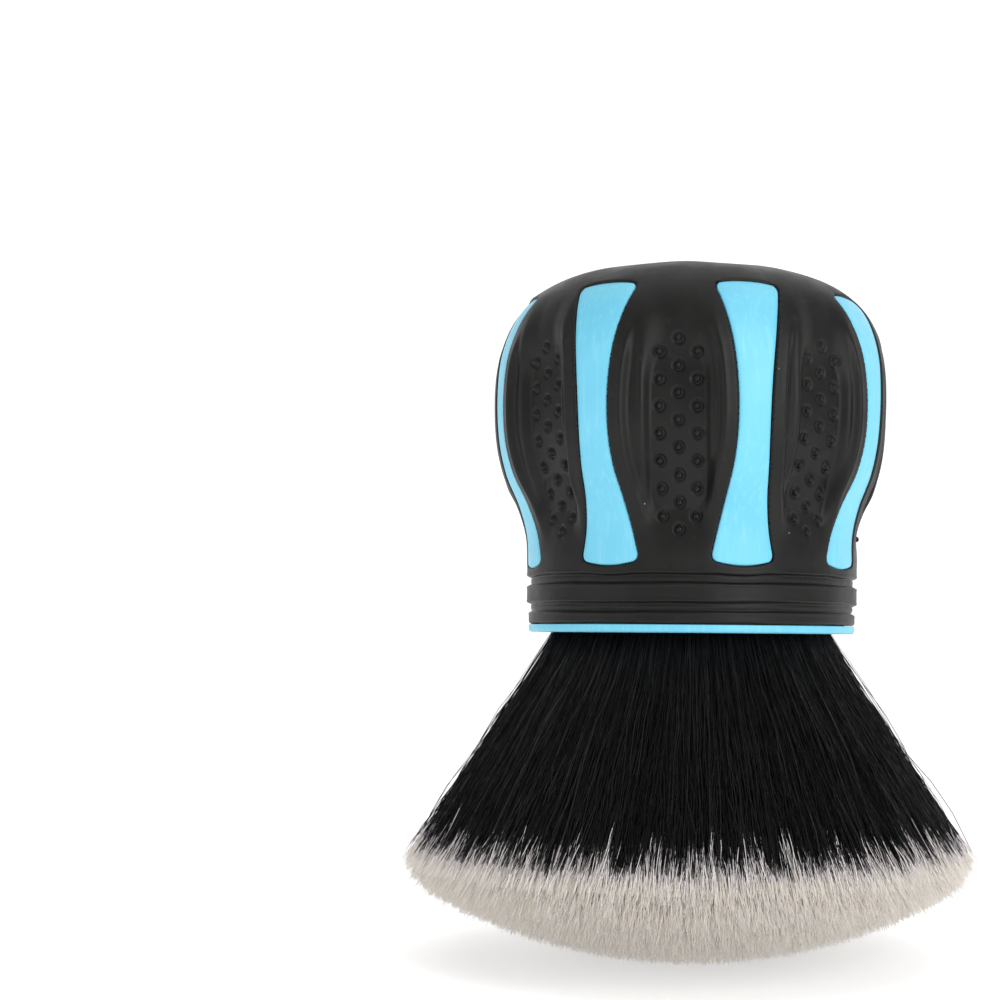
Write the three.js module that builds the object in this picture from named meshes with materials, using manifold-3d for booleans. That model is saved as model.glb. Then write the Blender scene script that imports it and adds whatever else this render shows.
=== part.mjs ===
// Short round brush with a bulb grip. A soft rubber sleeve with eight lobes is moulded over a hollow
// plastic core, whose raised strips show through windows between the lobes. A flared bundle of fine
// filaments is bound, bonded with resin into a cup, and the cup is glued inside the core.
//
// Millimetres, +Z up along the brush's axis, grip above and filaments below. The origin is on the
// axis, at the lowest filament tips. One lobe faces -Y.
import * as THREE from "three";
import { mergeVertices } from "three/addons/utils/BufferGeometryUtils.js";
import Module from "manifold-3d";

const { clamp, degToRad, lerp, mapLinear, smoothstep } = THREE.MathUtils;
const wasm = await Module();
wasm.setup();

// ---- Driving dimensions ----------------------------------------------------------------------

const GAP = 0.3; // clearance between neighbouring pieces
const LOBES = 8;

// Outer envelope of the grip, from the crown to the straight neck: [radius, height].
const NECK = { r: 25.6, z: 60 };
const ENVELOPE = [
  [0, 105.8],
  [10, 105.6],
  [18, 104.4],
  [23.6, 102],
  [27.5, 98.2],
  [29.9, 92.6],
  [30.7, 86.5],
  [30.5, 79.6],
  [29.3, 74],
  [27.1, 69],
  [25.85, 64.6],
  [NECK.r, NECK.z],
];
const LOWER_LAND_R = 25.3; // last land of the collar, and the core's rim below it

// Windows in the sleeve: waisted strips that end in wide rounded heads.
const WINDOW = { top: 100.2, bottom: 60, headHalf: 5.05, waistHalf: 2.5, corner: 1.5, crowning: 0.5 };
const STRIP_RECESS = 0.4; // how far the core's strips lie under the envelope

// Lobes: a raised lip along each window, then a panel sunk below the envelope.
const PANEL_RECESS = 2.3;
const PANEL_SPAN = { bottom: 60, top: 106 }; // heights between which the panels are sunk
const LIP = { inner: 2, outer: 4.6 }; // distances from the window's edge where the panel sinks

// Crown opening, scalloped by the lobes' ends, with the core's disc inside it.
const OPENING = { r: 10.6, scallop: 0.5 };
const DISC_R = 9.6;
const DISC_TOP = 105.5;

// Collar of the sleeve: two ring grooves.
const COLLAR = { grooves: [57.8, 53.7], grooveHalf: 0.8, grooveDepth: 0.65, sleeveWall: 1.6, bottom: 51.3 };

// How deep the core's wall lies under the envelope at the neck, in the bulb and under the crown, and
// the heights over which one depth runs into the next.
const WALL_DEPTH = { neck: COLLAR.sleeveWall + GAP, bulb: 4.8, crown: 3 };
const WALL_CHANGE = { neckEnd: 66, bulbStart: 80, bulbEnd: 98, crown: 105.5 };

// Core: rim, bore for the cup, hollow above it and ribs that stop the cup.
const RIM = { bottom: 50, top: COLLAR.bottom - GAP, corner: 0.4 };
const BORE_R = 22.4;
const BORE_TOP = 68.3;
const HOLLOW = { shoulderR: 21.4, shoulder: 91, endR: 14, end: 98, top: 99 };
const RIB = { count: 8, thickness: 1.4, inner: 16, outer: 23, bottom: 68.9, top: 99.5 };

// Cup, and what it holds.
const CUP = { r: BORE_R - GAP, wall: 1.2, bottom: 52, top: 66.5, roof: 1.5 };
const BUNDLE_R = CUP.r - CUP.wall - GAP;
const RESIN_HEIGHT = 4.2;
const BAND = { bottom: 54.5, top: 57.5, wall: 0.5 };
const BEAD = { inner: 15.5, outer: 21 };

// Filament bundle: straight in the cup, flared below it, with a domed face flattened at its middle.
const FLARE = { startR: 22.1, start: RIM.bottom, angle: degToRad(33.5) };
const TIPS = { domeR: 78, flatR: 8, edgeR: 44.2, edge: 14.5, cornerR: 43.2, sideEnd: 18.4 };
// Rings of filament locks from the axis outwards: locks in the ring, and its outer share of the radius.
const LOCK_RINGS = [
  { name: "centre", count: 1, inner: 0, outer: 1 / 3 },
  { name: "middle", count: 6, inner: 1 / 3, outer: 2 / 3 },
  { name: "outer", count: 12, inner: 2 / 3, outer: 1 },
];

const SEGMENTS = { grip: 64, inner: 40, filaments: 36, windowCurve: 4 };
const ROWS = { sleeve: 17, wall: 8, strips: 11, face: 3 };
const FAR = 80; // reaches past every piece, for cutting solids
const PAST = 5; // how far a cutting solid runs past a face it opens
const ROUNDS = 40; // steps of a search by halving or by repetition, enough to settle it
const SAME_POINT = 1e-4; // vertices closer than this are one

// ---- Solids ----------------------------------------------------------------------------------

// A closed three.js geometry as a manifold-3d solid with its faces pointing out.
function solid(geometry) {
  const bare = new THREE.BufferGeometry().setAttribute("position", geometry.getAttribute("position"));
  const merged = mergeVertices(bare.setIndex(geometry.index), SAME_POINT);
  const faces = [];
  const index = merged.index.array;
  for (let i = 0; i < index.length; i += 3) {
    const [a, b, c] = index.slice(i, i + 3);
    if (a !== b && b !== c && c !== a) faces.push([a, b, c]);
  }
  const build = (list) =>
    new wasm.Manifold(
      new wasm.Mesh({
        numProp: 3,
        vertProperties: merged.getAttribute("position").array,
        triVerts: new Uint32Array(list.flat()),
      }),
    );
  const made = build(faces);
  return made.volume() > 0 ? made : build(faces.map(([a, b, c]) => [a, c, b]));
}

// A solid back as a flat-shaded three.js geometry.
function geometryOf(body) {
  const mesh = body.getMesh();
  const geometry = new THREE.BufferGeometry();
  geometry.setAttribute("position", new THREE.BufferAttribute(mesh.vertProperties, 3));
  geometry.setIndex(new THREE.BufferAttribute(mesh.triVerts, 1));
  const flat = geometry.toNonIndexed();
  flat.computeVertexNormals();
  return flat;
}

// A profile of [radius, height] turned about Z. It closes on itself or on the axis.
function turned(profile, segments, shape = null) {
  const points = profile.map(([r, z]) => new THREE.Vector2(r, z));
  const closed = points[0].x > 0 ? [...points, points[0].clone()] : points;
  const lathe = new THREE.LatheGeometry(closed, segments).rotateX(Math.PI / 2);
  if (shape) shape(lathe, closed);
  return solid(lathe);
}

// A washer or disc between two radii and two heights.
function ring(inner, outer, bottom, top, segments = SEGMENTS.inner) {
  return turned([[inner, bottom], [outer, bottom], [outer, top], [inner, top]], segments);
}

function aroundAxis(geometry, angle) {
  return geometry.clone().rotateZ(angle);
}

// ---- Grip envelope ---------------------------------------------------------------------------

const envelope = new THREE.SplineCurve(ENVELOPE.map(([r, z]) => new THREE.Vector2(r, z)));

// Spline parameter where the envelope first passes a test, going from the crown to the neck.
function parameterWhere(test) {
  let low = 0;
  let high = 1;
  for (let i = 0; i < ROUNDS; i++) {
    const middle = (low + high) / 2;
    if (test(envelope.getPoint(middle))) high = middle;
    else low = middle;
  }
  return high;
}

// The envelope moved inwards along its normal by depth(height), as [radius, height] points.
function insetEnvelope(depth, from, to, steps) {
  return Array.from({ length: steps + 1 }, (_, i) => {
    const t = from + ((to - from) * i) / steps;
    const point = envelope.getPoint(t);
    const along = envelope.getTangent(t);
    const inset = depth(point.y);
    return [Math.max(point.x + along.y * inset, 0), point.y - along.x * inset];
  });
}

function wallDepth(z) {
  const bulb = smoothstep(z, WALL_CHANGE.neckEnd, WALL_CHANGE.bulbStart);
  const crown = smoothstep(z, WALL_CHANGE.bulbEnd, WALL_CHANGE.crown);
  return lerp(lerp(WALL_DEPTH.neck, WALL_DEPTH.bulb, bulb), WALL_DEPTH.crown, crown);
}

// ---- Windows ---------------------------------------------------------------------------------

// Outline of a window in the plane of its middle: x across it, y up the brush.
function windowOutline(inset) {
  const { corner, headHalf, waistHalf, crowning } = WINDOW;
  const head = headHalf - inset;
  const top = WINDOW.top - inset;
  const bottom = WINDOW.bottom + inset;
  const middle = (top + bottom) / 2;
  const pull = 2 * (waistHalf - inset) - head; // control point of a side that bows in to the waist
  const outline = new THREE.Shape();
  outline.moveTo(head, bottom + corner);
  outline.quadraticCurveTo(pull, middle, head, top - corner);
  outline.quadraticCurveTo(head, top - crowning, head - corner, top - crowning);
  outline.quadraticCurveTo(0, top + crowning, corner - head, top - crowning);
  outline.quadraticCurveTo(-head, top - crowning, -head, top - corner);
  outline.quadraticCurveTo(-pull, middle, -head, bottom + corner);
  outline.quadraticCurveTo(-head, bottom + crowning, corner - head, bottom + crowning);
  outline.quadraticCurveTo(0, bottom - crowning, head - corner, bottom + crowning);
  outline.quadraticCurveTo(head, bottom + crowning, head, bottom + corner);
  return outline;
}

// Half width of a window at a height, for the lip that follows its edge.
function windowHalf(z) {
  const middle = (WINDOW.top + WINDOW.bottom) / 2;
  const share = (z - middle) / (WINDOW.top - middle);
  return WINDOW.waistHalf + (WINDOW.headHalf - WINDOW.waistHalf) * share * share;
}

// Prisms through all the windows, each along its own radius.
function windowPrisms(inset) {
  const settings = { depth: FAR, bevelEnabled: false, curveSegments: SEGMENTS.windowCurve };
  const upright = new THREE.ExtrudeGeometry(windowOutline(inset), settings).rotateX(Math.PI / 2);
  return Array.from({ length: LOBES }, (_, i) => solid(aroundAxis(upright, lobeAngle(i + 0.5))));
}

// Turn that takes the lobe facing -Y to the lobe of this number; halves give the windows.
function lobeAngle(number) {
  return (number * 2 * Math.PI) / LOBES;
}

// ---- Grip sleeve -----------------------------------------------------------------------------

// Distance round the grip from the nearest window's edge, positive on the lobe.
function fromWindow(x, y, z) {
  const r = Math.hypot(x, y);
  const pitch = lobeAngle(1);
  const turn = Math.atan2(x, -y);
  const fromLobe = Math.abs(turn - pitch * Math.round(turn / pitch));
  return (pitch / 2 - fromLobe) * r - windowHalf(z);
}

function panelDepth(x, y, z) {
  const share = clamp((z - PANEL_SPAN.bottom) / (PANEL_SPAN.top - PANEL_SPAN.bottom), 0, 1);
  const along = Math.sin(Math.PI * share) ** 2;
  return PANEL_RECESS * along * smoothstep(fromWindow(x, y, z), LIP.inner, LIP.outer);
}

// Sinks the panels between the windows, along the profile's normals, on a turned blank of the sleeve.
function sinkPanels(lathe, profile) {
  const position = lathe.getAttribute("position");
  for (let i = 0; i < position.count; i++) {
    const row = i % profile.length;
    if (row === 0 || row === profile.length - 1) continue;
    const [x, y, z] = [position.getX(i), position.getY(i), position.getZ(i)];
    const r = Math.hypot(x, y);
    const along = profile[row + 1].clone().sub(profile[row - 1]).normalize();
    const depth = panelDepth(x, y, z);
    const sunkR = r + along.y * depth;
    position.setXYZ(i, (x * sunkR) / r, (y * sunkR) / r, z - along.x * depth);
  }
}

function gripSleeve() {
  const start = parameterWhere((p) => p.x > OPENING.r);
  const outside = insetEnvelope(() => 0, start, 1, ROWS.sleeve);
  const blank = [
    [0, outside[0][1]],
    ...outside,
    ...COLLAR.grooves.flatMap(grooveProfile),
    [LOWER_LAND_R, COLLAR.grooves[1] - 2 * COLLAR.grooveHalf],
    [LOWER_LAND_R, COLLAR.bottom],
    [0, COLLAR.bottom],
  ];
  const inside = insetEnvelope((z) => wallDepth(z) - GAP, 0, 1, ROWS.wall);
  const innerR = NECK.r - COLLAR.sleeveWall;
  const hollow = [...inside, [innerR, COLLAR.bottom - PAST], [0, COLLAR.bottom - PAST]];
  let sleeve = turned(blank, SEGMENTS.grip, sinkPanels).subtract(turned(hollow, SEGMENTS.inner));
  sleeve = sleeve.subtract(crownOpening());
  for (const prism of windowPrisms(0)) sleeve = sleeve.subtract(prism);
  return sleeve;
}

// The scalloped opening in the crown.
function crownOpening() {
  const outline = new THREE.Shape(
    Array.from({ length: SEGMENTS.grip }, (_, i) => {
      const angle = (i * 2 * Math.PI) / SEGMENTS.grip;
      const r = OPENING.r - OPENING.scallop * Math.cos(LOBES * angle);
      return new THREE.Vector2(r * Math.sin(angle), -r * Math.cos(angle));
    }),
  );
  const settings = { depth: FAR, bevelEnabled: false };
  return solid(new THREE.ExtrudeGeometry(outline, settings).translate(0, 0, HOLLOW.top));
}

function grooveProfile(z) {
  const { grooveHalf, grooveDepth } = COLLAR;
  const floor = grooveHalf / 2;
  return [
    [NECK.r, z + grooveHalf],
    [NECK.r - grooveDepth, z + floor],
    [NECK.r - grooveDepth, z - floor],
    [NECK.r, z - grooveHalf],
  ];
}

// ---- Handle core -----------------------------------------------------------------------------

function handleCore() {
  const wall = insetEnvelope(wallDepth, 0, 1, ROWS.wall).slice(1);
  const wallR = NECK.r - WALL_DEPTH.neck;
  const blank = turned(
    [
      [0, wall[0][1]],
      ...wall,
      [wallR, RIM.top],
      [LOWER_LAND_R, RIM.top],
      [LOWER_LAND_R, RIM.bottom + RIM.corner],
      [LOWER_LAND_R - RIM.corner, RIM.bottom],
      [0, RIM.bottom],
    ],
    SEGMENTS.inner,
  );
  const disc = [[0, HOLLOW.top + 1], [DISC_R, HOLLOW.top + 1], [DISC_R, DISC_TOP], [0, DISC_TOP]];
  let core = blank.subtract(hollowForCup()).add(turned(disc, SEGMENTS.inner));
  for (const rib of stopRibs()) core = core.add(rib.intersect(blank));
  const skin = stripSkin();
  for (const prism of windowPrisms(GAP)) core = core.add(prism.intersect(skin));
  return core;
}

// The bore for the cup and the drafted hollow above it.
function hollowForCup() {
  const profile = [
    [0, HOLLOW.top],
    [HOLLOW.endR, HOLLOW.end],
    [HOLLOW.shoulderR, HOLLOW.shoulder],
    [BORE_R, BORE_TOP],
    [BORE_R, RIM.bottom - PAST],
    [0, RIM.bottom - PAST],
  ];
  return turned(profile, SEGMENTS.inner);
}

function stopRibs() {
  const { count, thickness, inner, outer, bottom, top } = RIB;
  const rib = new THREE.BoxGeometry(outer - inner, thickness, top - bottom);
  rib.translate((outer + inner) / 2, 0, (top + bottom) / 2);
  return Array.from({ length: count }, (_, i) => solid(aroundAxis(rib, (i * 2 * Math.PI) / count)));
}

// The layer from inside the core's wall out to the strips' faces.
function stripSkin() {
  const rooted = 0.6; // how far the strips reach into the wall
  const outside = insetEnvelope(() => STRIP_RECESS, 0, 1, ROWS.strips).slice(1);
  const inside = insetEnvelope((z) => wallDepth(z) + rooted, 0, 1, ROWS.wall).slice(1);
  return turned([...outside, ...inside.reverse()], SEGMENTS.inner);
}

// ---- Pieces inside the core ------------------------------------------------------------------

function tuftCup() {
  const { r, wall, bottom, top, roof } = CUP;
  return turned(
    [[0, top], [r, top], [r, bottom], [r - wall, bottom], [r - wall, top - roof], [0, top - roof]],
    SEGMENTS.inner,
  );
}

const RESIN_TOP = CUP.top - CUP.roof - GAP;
const ROOT_TOP = RESIN_TOP - RESIN_HEIGHT - GAP; // where the free length of the filaments' roots ends

function resinPlug() {
  const bottom = RESIN_TOP - RESIN_HEIGHT;
  return turned([[0, RESIN_TOP], [BUNDLE_R, RESIN_TOP], [BUNDLE_R, bottom], [0, bottom]], SEGMENTS.inner);
}

// ---- Filament locks --------------------------------------------------------------------------

// Radius of the bundle at a height, with the flare carried on past the tips.
function bundleR(z) {
  if (z >= CUP.bottom) return BUNDLE_R;
  if (z <= FLARE.start) return FLARE.startR + (FLARE.start - z) * Math.tan(FLARE.angle);
  return mapLinear(z, CUP.bottom, FLARE.start, BUNDLE_R, FLARE.startR);
}

// Height of the domed face at a radius.
function tipHeight(r) {
  const dome = (x) => TIPS.domeR - Math.sqrt(TIPS.domeR ** 2 - x ** 2);
  return Math.max(dome(r) - dome(TIPS.flatR), 0);
}

// Radius at which the surface at this share of the bundle's radius meets the domed face.
function tipRadius(share) {
  let r = share * bundleR(0);
  for (let i = 0; i < ROUNDS; i++) r = share * bundleR(tipHeight(r));
  return r;
}

// The domed face between two radii.
function domeProfile(from, to) {
  return Array.from({ length: ROWS.face + 1 }, (_, i) => {
    const r = lerp(from, to, i / ROWS.face);
    return [r, tipHeight(r)];
  });
}

// The bundle's outer side above its face: rounded edge, flare, cup and the band's groove.
function outerSide() {
  const groove = BUNDLE_R - BAND.wall - GAP;
  return [
    [TIPS.edgeR, TIPS.edge],
    [bundleR(TIPS.sideEnd), TIPS.sideEnd],
    [FLARE.startR, FLARE.start],
    [BUNDLE_R, CUP.bottom],
    [BUNDLE_R, BAND.bottom - GAP],
    [groove, BAND.bottom - GAP],
    [groove, BAND.top + GAP],
    [BUNDLE_R, BAND.top + GAP],
    [BUNDLE_R, ROOT_TOP],
  ];
}

// A side shared with the next ring, above the face, moved sideways to leave half a gap.
function sharedSide(share, clear) {
  return [
    [share * FLARE.startR + clear, FLARE.start],
    [share * BUNDLE_R + clear, CUP.bottom],
    [share * BUNDLE_R + clear, ROOT_TOP],
  ];
}

function lockRing({ inner, outer }) {
  const isCentre = inner === 0;
  const isOutermost = outer === 1;
  const to = isOutermost ? TIPS.cornerR : tipRadius(outer) - GAP / 2;
  const from = isCentre ? TIPS.flatR : tipRadius(inner) + GAP / 2;
  const middle = isCentre ? [[0, 0]] : [];
  const outerPoints = isOutermost ? outerSide() : sharedSide(outer, -GAP / 2);
  const innerPoints = isCentre ? [[0, ROOT_TOP]] : sharedSide(inner, GAP / 2).reverse();
  const profile = [...middle, ...domeProfile(from, to), ...outerPoints, ...innerPoints];
  return turned(profile, SEGMENTS.filaments);
}

// A wedge about Z that leaves half a gap on each side of a lock.
function wedge(count, number) {
  const half = Math.PI / count;
  const apex = GAP / 2 / Math.sin(half);
  const reach = FAR / Math.cos(half);
  const outline = new THREE.Shape([
    new THREE.Vector2(0, -apex),
    new THREE.Vector2(reach * Math.sin(half), -apex - reach * Math.cos(half)),
    new THREE.Vector2(-reach * Math.sin(half), -apex - reach * Math.cos(half)),
  ]);
  const prism = new THREE.ExtrudeGeometry(outline, { depth: 2 * FAR, bevelEnabled: false });
  return solid(aroundAxis(prism.translate(0, 0, -FAR), (number * 2 * Math.PI) / count));
}

function filamentLocks() {
  return LOCK_RINGS.flatMap((spec) => {
    const whole = lockRing(spec);
    if (spec.count === 1) return [[`filament_lock_${spec.name}`, whole]];
    return Array.from({ length: spec.count }, (_, i) => [
      `filament_lock_${spec.name}_${String(i + 1).padStart(2, "0")}`,
      whole.intersect(wedge(spec.count, i)),
    ]);
  });
}

// ---- Assembly --------------------------------------------------------------------------------

const finish = (color, roughness) => ({ color, roughness, metalness: 0 });
const RUBBER = finish(0x323230, 0.7);
const BLUE_PLASTIC = finish(0x86d9f5, 0.45);
const CUP_PLASTIC = finish(0x2a2a2c, 0.5);
const RESIN = finish(0xd8c48a, 0.3);
const ADHESIVE = finish(0xe9e4d4, 0.5);
const BAND_CORD = finish(0xd9d6cf, 0.8);
const FILAMENT = finish(0x161718, 0.55);

const brush = new THREE.Group();

function addPiece(name, body, material) {
  const mesh = new THREE.Mesh(geometryOf(body), new THREE.MeshStandardMaterial(material));
  mesh.name = name;
  brush.add(mesh);
}

addPiece("grip_sleeve", gripSleeve(), RUBBER);
addPiece("handle_core", handleCore(), BLUE_PLASTIC);
addPiece("tuft_cup", tuftCup(), CUP_PLASTIC);
addPiece("resin_plug", resinPlug(), RESIN);
addPiece("adhesive_bead", ring(BEAD.inner, BEAD.outer, CUP.top + GAP, RIB.bottom - GAP), ADHESIVE);
addPiece("binding_band", ring(BUNDLE_R - BAND.wall, BUNDLE_R, BAND.bottom, BAND.top), BAND_CORD);
for (const [name, body] of filamentLocks()) addPiece(name, body, FILAMENT);

export default brush;
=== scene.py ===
# Looks of the short round brush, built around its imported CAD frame.
# Working lengths are in millimetres, in the CAD's frame (+Z up the brush, origin at the lowest
# filament tips, one lobe of the grip facing -Y), and turn into metres when a mesh is made.
import math

import bpy
import numpy as np
from mathutils import Matrix, Vector, kdtree


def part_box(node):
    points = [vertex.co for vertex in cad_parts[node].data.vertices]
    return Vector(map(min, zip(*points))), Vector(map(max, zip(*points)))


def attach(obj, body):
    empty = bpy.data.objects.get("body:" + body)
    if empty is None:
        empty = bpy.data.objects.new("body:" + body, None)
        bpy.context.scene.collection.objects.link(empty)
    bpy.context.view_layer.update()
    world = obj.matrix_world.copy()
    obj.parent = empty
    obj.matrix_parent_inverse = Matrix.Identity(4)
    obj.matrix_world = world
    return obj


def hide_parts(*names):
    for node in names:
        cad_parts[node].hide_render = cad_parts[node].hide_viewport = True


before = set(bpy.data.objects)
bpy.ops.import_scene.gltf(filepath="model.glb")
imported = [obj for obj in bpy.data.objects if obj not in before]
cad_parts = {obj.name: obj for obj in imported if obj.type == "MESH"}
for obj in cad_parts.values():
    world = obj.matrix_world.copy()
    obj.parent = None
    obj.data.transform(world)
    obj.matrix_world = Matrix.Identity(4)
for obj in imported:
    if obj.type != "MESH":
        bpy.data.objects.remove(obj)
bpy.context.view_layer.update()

MM = 0.001
TINY = 1e-9  # keeps comparisons and divisions clear of rounding errors
BODY = "root"


def node_heights(node):
    """Lowest and highest height of a CAD node, in millimetres."""
    low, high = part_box(node)
    return low[2] / MM, high[2] / MM


# ---- Dimensions, in millimetres ---------------------------------------------------------------

COLLAR_BOTTOM = node_heights("grip_sleeve")[0]
RIM_BOTTOM = node_heights("handle_core")[0]

LOBES = 8
PITCH = 2 * math.pi / LOBES
FRONT = -math.pi / 2  # azimuth of the lobe that faces -Y

# Outer envelope of the grip, from the crown to the straight neck: radius, height.
NECK_R, NECK_Z = 25.6, 60.0
ENVELOPE = [
    (0, 105.8), (10, 105.6), (18, 104.4), (23.6, 102), (27.5, 98.2), (29.9, 92.6),
    (30.7, 86.5), (30.5, 79.6), (29.3, 74), (27.1, 69), (25.85, 64.6), (NECK_R, NECK_Z),
]
LOWER_LAND_R = 25.3
GROOVE_HEIGHTS = (57.8, 53.7)
GROOVE_HALF = 0.82
GROOVE_DEPTH = 0.7

WINDOW_TOP, WINDOW_BOTTOM = 100.2, 60.0
HEAD_HALF, WAIST_HALF, CORNER = 5.05, 2.5, 1.5
ARCH, ARCH_FADE = 0.45, 1.5  # how far a window's end bows out, and over what length
END_HALF = HEAD_HALF - CORNER
STRIP_CLEARANCE = 0.1

OPENING_R, SCALLOP = 10.6, 0.5
LOBE_HALF = 9.5  # half a lobe's width at its widest

# A lobe goes down in two steps: from the lip along its windows to a terrace, then to its panel.
LIP_WIDTH = 2.0
TERRACE_DEPTH = 1.05
PANEL_HALF = 5.0
PANEL_DEPTH = 2.1
PANEL_SHIFT = 0.7  # the panels, with their dots, sit a little to one side of their lobes


def smoothstep(x, low, high):
    """0 below low, 1 above high, and a smooth step between them."""
    t = np.clip((np.asarray(x, float) - low) / (high - low), 0, 1)
    return t * t * (3 - 2 * t)


def bell(x, centre, width):
    """1 at the centre, falling off smoothly on both sides."""
    return np.exp(-(((x - centre) / width) ** 2))


def wobble(angle, seed, orders, size):
    """A smooth random function of an angle, from a few waves that close round the circle."""
    rng = np.random.default_rng(seed)
    total = 0
    for order in orders:
        total = total + rng.normal() * np.sin(order * angle + rng.uniform(0, 2 * math.pi))
    return size * total / math.sqrt(len(orders))


# ---- Mesh helpers -----------------------------------------------------------------------------


def new_object(name, points, quads):
    """A smooth object from points in millimetres and an array of four-cornered faces."""
    mesh = bpy.data.meshes.new(name)
    points = np.ascontiguousarray(points, dtype=np.float32)
    quads = np.ascontiguousarray(quads, dtype=np.int32)
    mesh.vertices.add(len(points))
    mesh.vertices.foreach_set("co", (points * MM).ravel())
    mesh.loops.add(quads.size)
    mesh.loops.foreach_set("vertex_index", quads.ravel())
    mesh.polygons.add(len(quads))
    mesh.polygons.foreach_set("loop_start", np.arange(0, quads.size, 4, dtype=np.int32))
    mesh.polygons.foreach_set("use_smooth", np.full(len(quads), True))
    mesh.update(calc_edges=True)
    obj = bpy.data.objects.new(name, mesh)
    bpy.context.scene.collection.objects.link(obj)
    return obj


def grid_quads(rows, columns, mask=None, closed=True):
    """Faces of a grid whose rows go down and whose columns go anticlockwise seen from above."""
    across = columns if closed else columns - 1
    j, i = np.meshgrid(np.arange(rows - 1), np.arange(across), indexing="ij")
    here = j * columns + i
    after = j * columns + (i + 1) % columns
    quads = np.stack([here, here + columns, after + columns, after], -1)
    return quads[mask] if mask is not None else quads.reshape(-1, 4)


def joined(parts):
    """Points and faces of several meshes, each given as points and faces, put into one."""
    points, quads, count = [], [], 0
    for part_points, part_quads in parts:
        points.append(part_points)
        quads.append(part_quads + count)
        count += len(part_points)
    return np.concatenate(points), np.concatenate(quads)


def skirt(loop, first_new):
    """Faces between a loop of points, anticlockwise seen from outside, and the new loop below it."""
    inner = np.arange(first_new, first_new + len(loop))
    return np.stack([loop, np.roll(loop, -1), np.roll(inner, -1), inner], -1)


def place(radius, height, azimuth):
    """Points from radius, height and azimuth round the axis."""
    return np.stack([radius * np.cos(azimuth), radius * np.sin(azimuth), height], -1)


# ---- Envelope of the grip ---------------------------------------------------------------------


def spline(points, samples):
    """Catmull-Rom curve through the points, with doubled ends, evenly sampled in its parameter."""
    points = np.array(points, float)
    last = len(points) - 1
    t = np.linspace(0, last, samples)
    i = np.minimum(t.astype(int), last - 1)
    w = (t - i)[:, None]
    p0, p1, p2, p3 = (points[np.clip(i + k, 0, last)] for k in (-1, 0, 1, 2))
    v0, v1 = (p2 - p0) / 2, (p3 - p1) / 2
    cubic = (2 * p1 - 2 * p2 + v0 + v1) * w**3 + (-3 * p1 + 3 * p2 - 2 * v0 - v1) * w**2
    return cubic + v0 * w + p1


class Envelope:
    """The grip's outer profile by its length from the crown, carried on straight down the collar."""

    def __init__(self):
        curve = np.vstack([spline(ENVELOPE, 1200), [[NECK_R, COLLAR_BOTTOM - 5]]])
        steps = np.hypot(*np.diff(curve, axis=0).T)
        self.length = np.concatenate([[0], np.cumsum(steps)])
        self.r, self.z = curve.T
        along = np.gradient(curve, self.length, axis=0)
        along /= np.hypot(*along.T)[:, None]
        self.normal_r, self.normal_z = -along[:, 1], along[:, 0]
        self.falling = np.maximum.accumulate(-self.z + self.length * TINY)

    def at(self, length):
        """Radius, height and outward normal at lengths from the crown."""
        columns = (self.r, self.z, self.normal_r, self.normal_z)
        return tuple(np.interp(length, self.length, values) for values in columns)

    def where_height(self, height):
        return np.interp(-np.asarray(height, float), self.falling, self.length)

    def where_radius(self, radius):
        crown = slice(0, int(np.argmax(self.r)))
        return np.interp(radius, self.r[crown], self.length[crown])


ENV = Envelope()
TOP_LENGTH = float(ENV.where_height(WINDOW_TOP))
BOTTOM_LENGTH = float(ENV.where_height(WINDOW_BOTTOM))
END_LENGTH = float(ENV.where_height(COLLAR_BOTTOM))


def waist_half(z, inset=0.0):
    """Half width of a window without its rounded corners."""
    middle = (WINDOW_TOP + WINDOW_BOTTOM) / 2
    share = (np.asarray(z, float) - middle) / (WINDOW_TOP - middle)
    return WAIST_HALF - inset + (HEAD_HALF - WAIST_HALF) * np.minimum(share**2, 1.1)


def window_half(z, inset=0.0):
    """Half width of a window with its rounded corners."""
    corner = CORNER - inset
    from_end = np.minimum(WINDOW_TOP - inset - z, z - WINDOW_BOTTOM - inset)
    into_corner = np.clip(corner - from_end, 0, corner)
    return waist_half(z, inset) - corner + np.sqrt(np.maximum(corner**2 - into_corner**2, 0))


def corner_heights(corner):
    """Depths into a rounded corner, spaced by its arc."""
    steps = 8
    return corner * (1 - np.cos(np.linspace(0, math.pi / 2, steps + 1)))


def wall_depth(z):
    """How deep the core's hidden wall lies under the envelope."""
    neck, bulb, crown = 1.9, 4.8, 3.0
    neck_to_bulb, bulb_to_crown = (66, 80), (98, 105.5)
    depth = neck + (bulb - neck) * smoothstep(z, *neck_to_bulb)
    return depth + (crown - depth) * smoothstep(z, *bulb_to_crown)


# ---- Grip sleeve ------------------------------------------------------------------------------

FILLET, EDGE_FALL = 0.3, 0.24  # width and drop of the rounded edges
EDGE_STEPS = np.array([0.05, 0.14, FILLET])
TO_EDGE = np.append(EDGE_STEPS[::-1], 0)  # distances to an edge, down to none
WINDOW_WALL, END_WALL = 1.5, 1.4  # how far in the edges' walls go


def spaced(start, end, step):
    """Even places from start up to, but not including, end, at most a step apart."""
    return np.linspace(start, end, max(int(math.ceil(abs(end - start) / step)), 1) + 1)[:-1]


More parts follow.
